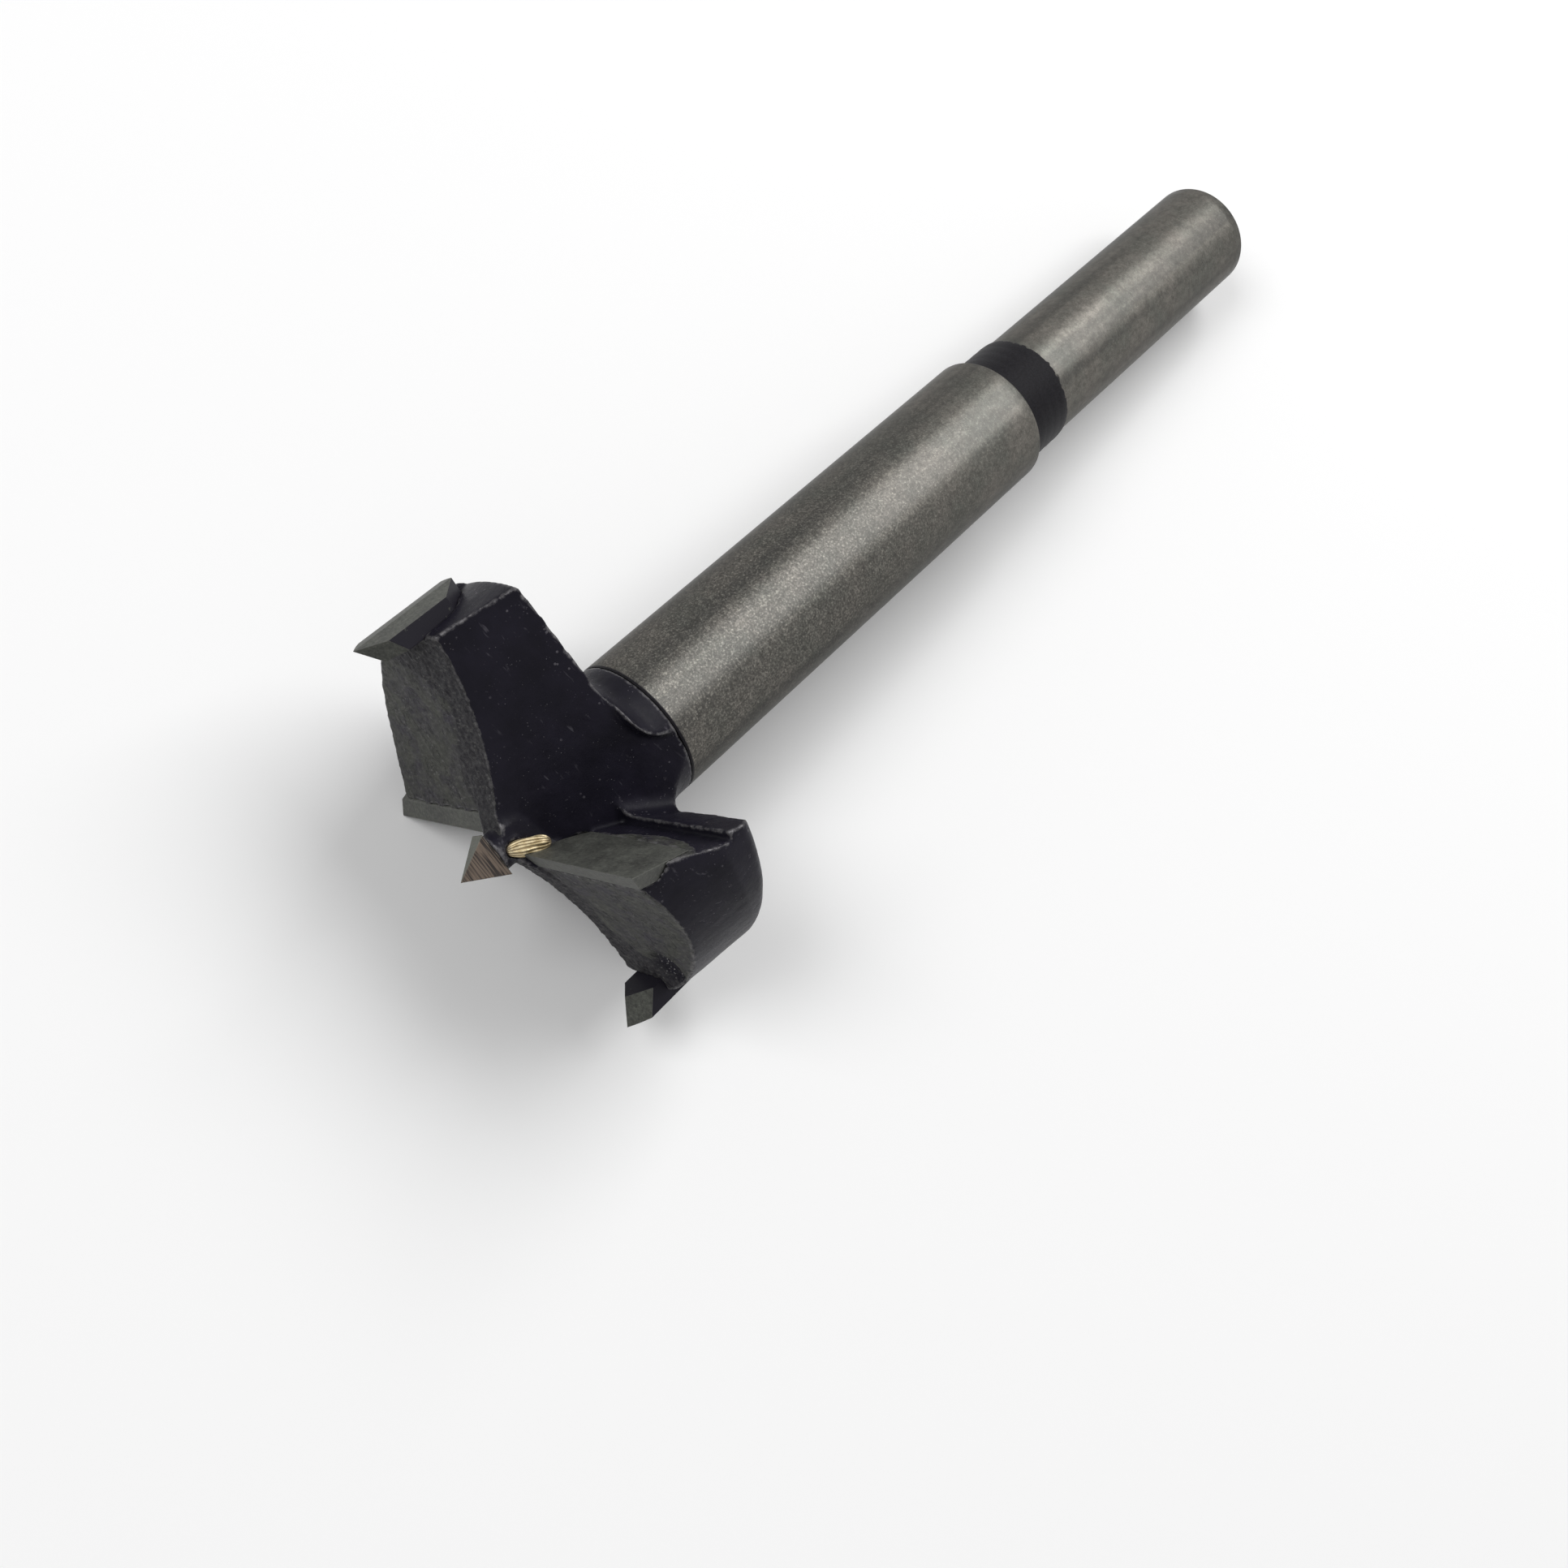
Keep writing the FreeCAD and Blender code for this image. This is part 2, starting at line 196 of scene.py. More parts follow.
# Lamps: place, width and height in metres, and power in watts
LAMPS = {
    "key": ((0.46, -0.03, 0.58), 0.66, 0.40, 4.0),
    "fill": ((-0.30, 0.30, 0.60), 0.35, 0.35, 2.0),
}
LAMP_AIM = (0, 0, 0.01)
WORLD_LEVEL = 0.25

# Looks of the stem: the heights between which the steel's grain grows finer, and how far
# the border of the groove's black scale wanders, at the shank and at the body
GRAIN_FADE_H = (30.0, 66.0)
SCALE_WANDER = 0.55
BODY_WANDER_SHARE = 0.15
BEVEL_SAMPLES = 6

# Colours of the head's paint
PAINT_DEEP = (0.0068, 0.0062, 0.0102)
PAINT_HAZE = (0.0120, 0.0108, 0.0178)
PAINT_SPECK = (0.16, 0.15, 0.17)
PAINT_SCRATCH = (0.085, 0.08, 0.095)
PAINT_CRUMB = (0.34, 0.33, 0.33)
# lighter edges: worn paint, and a painted highlight
WORN_AND_HIGHLIT_EDGE = (0.150, 0.145, 0.150)
# painted shade in the hollows
HOLLOW_SHADE = (0.006, 0.006, 0.009)

# Colours of the head's ground floors and their torn heels
GROUND_OLIVE = (0.042, 0.043, 0.037)
GROUND_VIOLET = (0.028, 0.025, 0.034)
GROUND_MARK = (0.074, 0.075, 0.066)
GROUND_CRACK = (0.012, 0.012, 0.014)
TORN_DARK = (0.016, 0.015, 0.019)
TORN_PALE = (0.055, 0.053, 0.055)
SAND_DARK = (0.014, 0.014, 0.015)
SAND_PALE = (0.130, 0.130, 0.120)
GROUND_GLINT = (0.14, 0.14, 0.135)

# Colours of the stem
STEEL_GREEN = (0.128, 0.129, 0.115)
STEEL_WARM = (0.170, 0.159, 0.142)
STEEL_BLOTCH = (0.070, 0.066, 0.060)
STEEL_LINE = (0.180, 0.170, 0.150)
# dark lengthwise bands: painted reflections of dark surroundings
STEEL_REFLECTION_BAND = (0.052, 0.052, 0.050)
STEEL_PIT = (0.036, 0.035, 0.033)
STEEL_GLINT = (0.290, 0.275, 0.240)
STEEL_TINT = (0.55, 0.55, 0.55)
SCALE_DARK = (0.005, 0.0045, 0.006)
SCALE_PALE = (0.014, 0.013, 0.016)

# Colours of the carbide plates
CARBIDE_DARK = (0.048, 0.049, 0.044)
CARBIDE_PALE = (0.085, 0.088, 0.077)
CARBIDE_LINE = (0.125, 0.127, 0.112)
CARBIDE_PIT = (0.022, 0.022, 0.022)
CARBIDE_GLINT = (0.150, 0.152, 0.135)
# painted highlight along the sharp edges
CARBIDE_EDGE_HIGHLIGHT = (0.19, 0.19, 0.175)
CARBIDE_PAINT = (0.011, 0.010, 0.015)

# Colours of the centre point
POINT_DARK = (0.018, 0.013, 0.011)
POINT_BROWN = (0.130, 0.098, 0.075)
POINT_STAIN = (0.050, 0.040, 0.034)
POINT_OLIVE = (0.085, 0.088, 0.070)
# painted highlight along the sharp edges
POINT_EDGE_HIGHLIGHT = (0.20, 0.19, 0.16)

# Colours of the braze, the floor and the background
BRAZE_DULL = (0.40, 0.31, 0.16)
BRAZE_BRIGHT = (0.68, 0.58, 0.37)
# painted shade between the bead's ridges
BRAZE_FOLD_SHADE = (0.13, 0.085, 0.035)
BRAZE_SOOT = (0.025, 0.014, 0.020)
FLOOR_COLOR = (0.95, 0.95, 0.95)
WHITE = (1.0, 1.0, 1.0)


def tool_placement():
    """The matrix from the tool's frame, in metres, to the row's frame."""
    mount = next(m for m in frame["record"]["mounts"] if m["name"] == "shank")
    axis = Vector(mount["axis"]).normalized()
    side = Vector((0, -1, 0))
    side = (side - axis * side.dot(axis)).normalized()
    over = axis.cross(side)
    roll = math.radians(ROLL)
    x = side * math.cos(roll) + over * math.sin(roll)
    y = axis.cross(x)
    origin = Vector(mount["pos_m"]) - axis * MOUNT_H * MM
    turn = Matrix((x, y, axis)).transposed().to_4x4()
    return Matrix.Translation(origin) @ turn


PLACE = tool_placement()
TO_TOOL = PLACE.inverted()


# Nodes

class Nodes:
    """A small helper that builds a material's node tree."""

    def __init__(self, name):
        self.material = bpy.data.materials.new(name)
        self.material.use_nodes = True
        self.tree = self.material.node_tree
        self.shader = self.tree.nodes["Principled BSDF"]
        place = self.new("ShaderNodeTexCoord").outputs["Object"]
        self.tool = self.to_tool(place, "POINT", MM_PER_M)

    def new(self, kind, **values):
        node = self.tree.nodes.new(kind)
        for name, value in values.items():
            setattr(node, name, value)
        return node

    def link(self, source, target):
        self.tree.links.new(source, target)

    def put(self, target, value):
        """Links another node's output, or sets a number or a colour of three numbers."""
        if isinstance(value, bpy.types.NodeSocket):
            self.link(value, target)
        elif isinstance(value, tuple):
            target.default_value = (*value, 1.0)
        else:
            target.default_value = value

    def to_tool(self, vector, kind, size):
        """A point or a direction of the row's frame in the tool's own frame."""
        mapping = self.new("ShaderNodeMapping", vector_type=kind)
        mapping.inputs["Rotation"].default_value = TO_TOOL.to_euler()
        if kind == "POINT":
            mapping.inputs["Location"].default_value = TO_TOOL.translation * size
            mapping.inputs["Scale"].default_value = (size, size, size)
        self.link(vector, mapping.inputs["Vector"])
        return mapping.outputs["Vector"]

    def coordinates(self, stretch=(1, 1, 1), turn=(0, 0, 0)):
        """Coordinates in mm in the tool's frame, stretched and turned by degrees."""
        mapping = self.new("ShaderNodeMapping")
        mapping.inputs["Scale"].default_value = stretch
        mapping.inputs["Rotation"].default_value = [math.radians(a) for a in turn]
        self.link(self.tool, mapping.inputs["Vector"])
        return mapping.outputs["Vector"]

    def parts(self, vector):
        node = self.new("ShaderNodeSeparateXYZ")
        self.link(vector, node.inputs[0])
        return node.outputs["X"], node.outputs["Y"], node.outputs["Z"]

    def direction(self):
        """The surface's direction along X, Y and Z of the tool's frame."""
        normal = self.new("ShaderNodeTexCoord").outputs["Normal"]
        return self.parts(self.to_tool(normal, "VECTOR", 1))

    def outward(self, nx, ny):
        """How far the surface faces away from the tool's axis, from -1 to 1."""
        x, y, _ = self.parts(self.tool)
        radius = self.math("SQRT", self.plus(self.times(x, x), self.times(y, y)))
        return self.math("DIVIDE", self.plus(self.times(nx, x), self.times(ny, y)), radius)

    def noise(self, vector, scale, detail=3.0, rough=0.5, distortion=0.0):
        node = self.new("ShaderNodeTexNoise")
        self.link(vector, node.inputs["Vector"])
        node.inputs["Scale"].default_value = scale
        node.inputs["Detail"].default_value = detail
        node.inputs["Roughness"].default_value = rough
        node.inputs["Distortion"].default_value = distortion
        return node.outputs["Fac"]

    def spots(self, vector, scale, size, soft):
        """Round specks: 1 inside, 0 outside."""
        node = self.new("ShaderNodeTexVoronoi")
        self.link(vector, node.inputs["Vector"])
        node.inputs["Scale"].default_value = scale
        return self.ramp(node.outputs["Distance"], size + soft, size)

    def ramp(self, value, low, high, out_low=0.0, out_high=1.0, smooth=False):
        """Turns low..high into out_low..out_high and holds both ends."""
        node = self.new("ShaderNodeMapRange")
        if smooth:
            node.interpolation_type = "SMOOTHSTEP"
        self.put(node.inputs["Value"], value)
        node.inputs["From Min"].default_value = low
        node.inputs["From Max"].default_value = high
        node.inputs["To Min"].default_value = out_low
        node.inputs["To Max"].default_value = out_high
        return node.outputs["Result"]

    def math(self, operation, a, b=0.0):
        node = self.new("ShaderNodeMath", operation=operation)
        self.put(node.inputs[0], a)
        self.put(node.inputs[1], b)
        return node.outputs[0]

    def plus(self, *terms):
        total = terms[0]
        for term in terms[1:]:
            total = self.math("ADD", total, term)
        return total

    def minus(self, a, b):
        return self.math("SUBTRACT", a, b)

    def times(self, a, b):
        return self.math("MULTIPLY", a, b)

    def most(self, a, b):
        return self.math("MAXIMUM", a, b)

    def apart(self, a, b):
        """How far two values are apart."""
        return self.math("ABSOLUTE", self.minus(a, b))

    def mix(self, share, a, b):
        """A colour between a and b."""
        node = self.new("ShaderNodeMix", data_type="RGBA")
        self.put(node.inputs[0], share)
        self.put(node.inputs[6], a)
        self.put(node.inputs[7], b)
        return node.outputs[2]

    def blend(self, share, a, b):
        """A number between a and b."""
        node = self.new("ShaderNodeMix", data_type="FLOAT")
        self.put(node.inputs[0], share)
        self.put(node.inputs[2], a)
        self.put(node.inputs[3], b)
        return node.outputs[0]

    def attribute(self, name):
        return self.new("ShaderNodeAttribute", attribute_name=name).outputs["Fac"]

    def bump(self, height, strength, distance, normal=None):
        """The normal bent by a height, at a distance in mm."""
        node = self.new("ShaderNodeBump")
        node.inputs["Strength"].default_value = strength
        node.inputs["Distance"].default_value = distance * MM
        self.link(height, node.inputs["Height"])
        if normal is not None:
            self.link(normal, node.inputs["Normal"])
        return node.outputs["Normal"]

    def edges(self, radius, low, high):
        """1 along sharp edges and 0 elsewhere, and the normal that rounds those edges."""
        bevel = self.new("ShaderNodeBevel", samples=BEVEL_SAMPLES)
        bevel.inputs["Radius"].default_value = radius * MM
        flat = self.new("ShaderNodeNewGeometry").outputs["Normal"]
        dot = self.new("ShaderNodeVectorMath", operation="DOT_PRODUCT")
        self.link(bevel.outputs["Normal"], dot.inputs[0])
        self.link(flat, dot.inputs[1])
        return self.ramp(dot.outputs["Value"], high, low), bevel.outputs["Normal"]

    def finish(self, color, rough, metallic=0.0, normal=None, specular=None):
        inputs = self.shader.inputs
        self.put(inputs["Base Color"], color)
        self.put(inputs["Roughness"], rough)
        self.put(inputs["Metallic"], metallic)
        if specular is not None:
            inputs["Specular IOR Level"].default_value = specular
        if normal is not None:
            self.link(normal, inputs["Normal"])
        return self.material


# Materials: n is the node helper and p the coordinates in mm, so noise scales are per mm

def black_paint(n, p):
    """Gloss paint: its colour, its dust and grit, and its fine scratches."""
    cloud = n.noise(p, 0.35, 4, 0.6)
    color = n.mix(n.ramp(cloud, 0.35, 0.7), PAINT_DEEP, PAINT_HAZE)
    dust = n.times(n.spots(p, 1.3, 0.10, 0.05), n.ramp(n.noise(p, 0.5, 2), 0.50, 0.62))
    grit = n.times(n.spots(p, 3.6, 0.10, 0.08), n.ramp(n.noise(p, 0.8, 2), 0.50, 0.64))
    specks = n.most(dust, grit)
    hairs = n.coordinates((0.35, 3.2, 1.0), (20, 35, 10))
    scratch = n.ramp(n.noise(hairs, 1.9, 2, 0.4), 0.66, 0.73)
    scratch = n.times(scratch, n.ramp(n.noise(p, 0.34, 2), 0.50, 0.58))
    color = n.mix(n.times(specks, 0.45), color, PAINT_SPECK)
    color = n.mix(n.times(scratch, 0.5), color, PAINT_SCRATCH)
    return color, specks, scratch


def ground_floor(n, p, heel):
    """Ground steel with a torn heel: its colour, marks and cracks, and the torn relief."""
    patch = n.noise(p, 0.28, 3, 0.55, 0.6)
    color = n.mix(n.ramp(patch, 0.42, 0.60), GROUND_OLIVE, GROUND_VIOLET)
    marks = n.noise(n.coordinates((1.0, 0.35, 1.0), (0, 0, 25)), 1.5, 5, 0.65, 0.8)
    color = n.mix(n.ramp(marks, 0.40, 0.75), color, GROUND_MARK)
    line = n.apart(n.noise(p, 0.75, 4, 0.6, 0.4), 0.5)
    crack = n.times(n.ramp(line, 0.030, 0.0), n.ramp(n.noise(p, 0.55, 2), 0.43, 0.53))
    color = n.mix(n.times(crack, 0.85), color, GROUND_CRACK)
    torn = n.noise(p, 2.4, 5, 0.72, 0.5)
    color = n.mix(heel, color, n.mix(n.ramp(torn, 0.40, 0.68), TORN_DARK, TORN_PALE))
    sand = n.noise(n.coordinates((1.0, 0.5, 1.0), (0, 0, 25)), 3.2, 4, 0.75)
    color = n.mix(n.ramp(sand, 0.36, 0.52, 0.40, 0.0), color, SAND_DARK)
    color = n.mix(n.ramp(sand, 0.54, 0.68, 0.0, 0.45), color, SAND_PALE)
    glints = n.spots(n.coordinates((1.0, 0.6, 1.0), (0, 0, 20)), 2.6, 0.16, 0.12)
    glints = n.times(glints, n.ramp(n.noise(p, 0.6, 3, 0.6), 0.46, 0.60))
    color = n.mix(n.times(glints, 0.5), color, GROUND_GLINT)
    return color, marks, crack, torn


def ground_border(n, p):
    """Where the paint is ground off, with a ragged border, and where that border is chipped."""
    share = n.most(n.attribute("floor"), n.attribute("rake"))
    ragged = n.plus(share, n.ramp(n.noise(p, 1.4, 4, 0.6), 0.2, 0.8, -0.35, 0.35))
    chipped = n.ramp(n.apart(ragged, 0.53), 0.10, 0.02)
    chipped = n.times(chipped, n.ramp(n.noise(p, 2.2, 3, 0.7), 0.42, 0.58))
    return n.ramp(ragged, 0.45, 0.60), chipped


def worn_and_highlit_edges(n, p, chipped):
    """Where the paint has gone from the edges and from the chipped border, and where the edges get a
    painted highlight.
    """
    patchy = n.ramp(n.noise(p, 1.9, 4, 0.7), 0.34, 0.62, 0.25, 1.0)
    worn_highlit = n.times(n.attribute("wear_and_highlight"), patchy)
    return n.most(n.ramp(worn_highlit, 0.30, 0.85), n.times(chipped, 0.7))


def head_material():
    """Black gloss paint over the head, ground off its hollow floors, worn along its edges with a
    painted highlight there, and darkened by painted shade in its hollows.
    """
    n = Nodes("blackened_head")
    p = n.coordinates()
    heel = n.attribute("heel")
    paint, specks, scratch = black_paint(n, p)
    ground, marks, crack, torn = ground_floor(n, p, heel)
    bare, chipped = ground_border(n, p)
    edge = worn_and_highlit_edges(n, p, chipped)

    # the black pocket at the spur, with bright crumbs
    hole = n.times(n.attribute("pocket"), n.ramp(n.noise(p, 1.3, 4, 0.7), 0.30, 0.40))
    bare = n.times(bare, n.minus(1.0, hole))
    crumbs = n.times(n.spots(p, 3.4, 0.16, 0.10), hole)
    paint = n.mix(n.times(crumbs, 0.8), paint, PAINT_CRUMB)

    color = n.mix(bare, paint, ground)
    # edges lighter: worn paint, and a painted highlight along them
    color = n.mix(n.times(edge, 0.75), color, WORN_AND_HIGHLIT_EDGE)
    # painted shade: the hollows darkened
    color = n.mix(n.ramp(n.attribute("hollow"), 0.2, 0.9, 0.0, 0.6), color, HOLLOW_SHADE)

    fine = n.noise(p, 7.0, 5, 0.65)
    gloss = n.ramp(fine, 0.3, 0.7, 0.32, 0.46)
    rough = n.blend(bare, gloss, n.ramp(marks, 0.3, 0.7, 0.45, 0.62))
    rough = n.blend(edge, rough, 0.38)
    metallic = n.blend(bare, n.times(edge, 0.5), 0.10)

    rise = n.plus(n.times(n.noise(p, 0.9, 3, 0.5), 0.8), n.times(fine, 0.25), n.times(specks, 0.5),
                  n.times(n.times(marks, bare), 0.9), n.times(n.times(torn, heel), 1.8), crumbs)
    rise = n.minus(rise, n.times(scratch, 0.4))
    rise = n.minus(rise, n.times(n.times(crack, bare), 0.8))
    return n.finish(color, rough, metallic, n.bump(rise, 0.7, 0.06), specular=0.09)


def ground_steel(n, p, h, lines, grain):
    """The colour of the stem: tints, blotches, lines round it, dark bands along it that are painted
    reflections, and a grain.
    """
    tint = n.noise(p, 0.22, 3, 0.6)
    color = n.mix(n.ramp(tint, 0.36, 0.62), STEEL_GREEN, STEEL_WARM)
    blotch = n.noise(p, 1.7, 4, 0.7)
    color = n.mix(n.ramp(blotch, 0.40, 0.62, 0.0, 0.55), color, STEEL_BLOTCH)
    color = n.mix(n.ramp(lines, 0.45, 0.75, 0.0, 0.35), color, STEEL_LINE)
    # dark lengthwise bands painted as reflections
    reflection_band = n.noise(n.coordinates((0.42, 0.42, 0.012)), 1.0, 2, 0.5)
    color = n.mix(n.ramp(reflection_band, 0.40, 0.56, 0.50, 0.0, smooth=True), color, STEEL_REFLECTION_BAND)
    coarse = n.ramp(h, *GRAIN_FADE_H, 1.0, 0.35, smooth=True)
    color = n.mix(n.times(n.ramp(grain, 0.42, 0.62, 0.75, 0.0), coarse), color, STEEL_PIT)
    return n.mix(n.times(n.ramp(grain, 0.56, 0.70, 0.0, 0.6), coarse), color, STEEL_GLINT)


def scale_share(n, p, h):
    """Where the stem is black: in the unground groove, and in the seam at the paint's edge."""
    wander = n.ramp(n.noise(p, 0.9, 4, 0.7), 0.2, 0.8, -SCALE_WANDER, SCALE_WANDER)
    low = n.plus(h, n.times(wander, BODY_WANDER_SHARE))
    low = n.ramp(low, BODY_TOP_H - 0.10, BODY_TOP_H)
    high = n.ramp(n.plus(h, wander), GROOVE_TOP_H - 0.1, GROOVE_TOP_H + 0.1, 1.0, 0.0)
    seam = n.ramp(h, PAINT_H + 0.14, PAINT_H + 0.22, 1.0, 0.0)
    return n.most(n.times(low, high), seam)


def stem_material():
    """Ground steel with a mottled grain, and the black stretch between its diameters."""
    n = Nodes("ground_stem")
    p = n.coordinates()
    h = n.parts(p)[2]
    lines = n.noise(n.coordinates((0.5, 0.5, 3.0)), 1.5, 4, 0.7)
    grain = n.noise(p, 5.5, 4, 0.8)
    dark = scale_share(n, p, h)
    scale = n.mix(n.ramp(grain, 0.4, 0.7), SCALE_DARK, SCALE_PALE)
    color = n.mix(dark, ground_steel(n, p, h, lines, grain), scale)
    rough = n.blend(dark, n.ramp(grain, 0.3, 0.7, 0.27, 0.38), 0.50)
    metallic = n.blend(dark, 0.9, 0.0)
    rise = n.plus(n.times(lines, 0.6), n.times(grain, 0.6))
    n.put(n.shader.inputs["Specular Tint"], STEEL_TINT)
    return n.finish(color, rough, metallic, n.bump(rise, 0.5, 0.02), specular=0.12)


def ground_carbide(n, p):
    """Dull olive grey carbide: its colour with a painted highlight along sharp edges, its roughness
    and relief, and its rounded normal.
    """
    edge, rounded = n.edges(0.09, 0.90, 0.995)
    cloud = n.noise(p, 0.5, 4, 0.6)
    color = n.mix(n.ramp(cloud, 0.35, 0.7), CARBIDE_DARK, CARBIDE_PALE)
    lines = n.noise(n.coordinates((0.5, 0.5, 8.0), (15, 30, 0)), 1.6, 4, 0.7)
    color = n.mix(n.ramp(lines, 0.5, 0.8, 0.0, 0.4), color, CARBIDE_LINE)
    sand = n.noise(p, 3.6, 4, 0.75)
    color = n.mix(n.ramp(sand, 0.34, 0.50, 0.6, 0.0), color, CARBIDE_PIT)
    color = n.mix(n.ramp(sand, 0.54, 0.68, 0.0, 0.5), color, CARBIDE_GLINT)
    # painted highlight along the sharp edges
    color = n.mix(n.times(edge, 0.45), color, CARBIDE_EDGE_HIGHLIGHT)
    rough = n.ramp(cloud, 0.3, 0.7, 0.42, 0.55)
    rise = n.plus(n.times(lines, 0.6), n.times(cloud, 0.4))
    return color, rough, rise, rounded


def carbide_material():
    """Carbide that is ground all over."""
    n = Nodes("tungsten_carbide")
    color, rough, rise, rounded = ground_carbide(n, n.coordinates())
    return n.finish(color, rough, 0.2, n.bump(rise, 0.4, 0.03, rounded), specular=0.25)


def spur_material():
    """Carbide that is ground on its bevels and outer face, and painted on its sides."""
    n = Nodes("painted_carbide")
    p = n.coordinates()
    color, rough, rise, rounded = ground_carbide(n, p)
    nx, ny, along = n.direction()
    bare = n.most(n.ramp(n.outward(nx, ny), 0.55, 0.7), n.ramp(along, -0.30, -0.40))
    bare = n.most(bare, n.ramp(n.noise(p, 2.6, 4, 0.7), 0.66, 0.70))
    color = n.mix(bare, CARBIDE_PAINT, color)
    rough = n.blend(bare, 0.45, rough)
    normal = n.bump(rise, 0.5, 0.03, rounded)
    return n.finish(color, rough, n.blend(bare, 0.0, 0.2), normal, specular=0.12)


def point_material():
    """Ground facets: two with coarse brown lines along them, and two olive ones, with a painted
    highlight along their edges.
    """
    n = Nodes("ground_point")
    edge, rounded = n.edges(0.10, 0.90, 0.995)
    lines = n.noise(n.coordinates((0.25, 0.25, 6.0)), 1.3, 2, 0.5)
    color = n.mix(n.ramp(lines, 0.42, 0.56), POINT_DARK, POINT_BROWN)
    cloud = n.noise(n.coordinates(), 1.0, 3, 0.6)
    color = n.mix(n.ramp(cloud, 0.45, 0.7, 0.0, 0.5), color, POINT_STAIN)
    nx, ny, _ = n.direction()
    across = n.minus(n.math("ABSOLUTE", nx), n.math("ABSOLUTE", ny))
    color = n.mix(n.ramp(across, -0.05, 0.05), color, POINT_OLIVE)
    # painted highlight along the sharp edges
    color = n.mix(n.times(edge, 0.4), color, POINT_EDGE_HIGHLIGHT)
    rough = n.ramp(cloud, 0.3, 0.7, 0.38, 0.55)
    return n.finish(color, rough, 0.4, n.bump(lines, 0.7, 0.05, rounded))


def braze_material():
    """Bare brass-coloured braze, with painted shade between its ridges, and sooty at its ends."""
    n = Nodes("brass_braze")
    p = n.coordinates()
    cloud = n.noise(p, 2.2, 4, 0.6)
    color = n.mix(n.ramp(cloud, 0.35, 0.65), BRAZE_DULL, BRAZE_BRIGHT)
    # painted shade between the ridges
    color = n.mix(n.attribute("fold_shade"), color, BRAZE_FOLD_SHADE)
    soot = n.times(n.attribute("ends"), n.ramp(n.noise(p, 3.0, 3, 0.6), 0.40, 0.55))
    color = n.mix(soot, color, BRAZE_SOOT)
    return n.finish(color, 0.40, 0.5, n.bump(cloud, 0.5, 0.04))


def seen(tree):
    """1 where a surface is looked at, mirrored or seen through glass, 0 where it only gives light."""
    path = tree.nodes.new("ShaderNodeLightPath")
    share = path.outputs["Is Camera Ray"]
    for name in ("Is Glossy Ray", "Is Transmission Ray"):
        either = tree.nodes.new("ShaderNodeMath")
        either.operation = "MAXIMUM"
        tree.links.new(share, either.inputs[0])
        tree.links.new(path.outputs[name], either.inputs[1])
        share = either.outputs[0]
    return share


def floor_material():
    """A pale floor that keeps the tool's shadow and turns into the white background further out."""
    n = Nodes("pale_floor")
    n.finish(FLOOR_COLOR, 0.9)
    distance = n.new("ShaderNodeVectorMath", operation="LENGTH")
    n.link(n.new("ShaderNodeTexCoord").outputs["Object"], distance.inputs[0])
    far = n.ramp(distance.outputs["Value"], FADE_NEAR, FADE_FAR, smooth=True)
    white = n.new("ShaderNodeEmission")
    n.put(white.inputs["Color"], WHITE)
    n.put(white.inputs["Strength"], 1.0)
    both = n.new("ShaderNodeMixShader")
    n.link(n.times(far, seen(n.tree)), both.inputs[0])
    n.link(n.shader.outputs[0], both.inputs[1])
    n.link(white.outputs[0], both.inputs[2])
    n.link(both.outputs[0], n.tree.nodes["Material Output"].inputs["Surface"])
    return n.material


# Meshes, worked out in the tool's frame and then laid down with it

def add_object(name, data):
    piece = bpy.data.objects.new(name, data)
    bpy.context.scene.collection.objects.link(piece)
    return piece


def lay_down(mesh):
    """Moves a mesh to its place in the row's frame, no further out than the solid model."""
    mesh.transform(PLACE)
    points = np.empty(len(mesh.vertices) * 3, np.float32)
    mesh.vertices.foreach_get("co", points)
    low, high = (np.array(corner, np.float32) for corner in cad_bounds)
    inside = np.clip(points.reshape(-1, 3), low + BOX_MARGIN, high - BOX_MARGIN)
    mesh.vertices.foreach_set("co", inside.ravel())
    mesh.update()


def add_mesh(name, points, faces, material):
    """A smooth mesh object from points in mm."""
    mesh = bpy.data.meshes.new(name)
    mesh.from_pydata([tuple(c * MM for c in p) for p in points], [], faces)
    mesh.validate()
    mesh.shade_smooth()
    mesh.materials.append(material)
    lay_down(mesh)
    return add_object(name, mesh)


def set_attribute(mesh, name, values):
    layer = mesh.attributes.new(name, "FLOAT", "POINT")
    layer.data.foreach_set("value", np.asarray(values, np.float32))


def tube_faces(rows, columns):
    """The faces of a tube of rings of points, closed at both ends."""
    faces = []
    for row in range(rows):
        for column in range(columns):
            a = row * columns + column
            b = row * columns + (column + 1) % columns
            faces.append((a, b, b + columns, a + columns))
    faces.append(tuple(reversed(range(columns))))
    faces.append(tuple(rows * columns + column for column in range(columns)))
    return faces


def rings(radius, height, offsets):
    return [(radius - inwards, height + up) for inwards, up in offsets]


def straight(radius, height, run):
    start, length, steps = run
    return [(radius, height + start + length * i / steps) for i in range(steps + 1)]


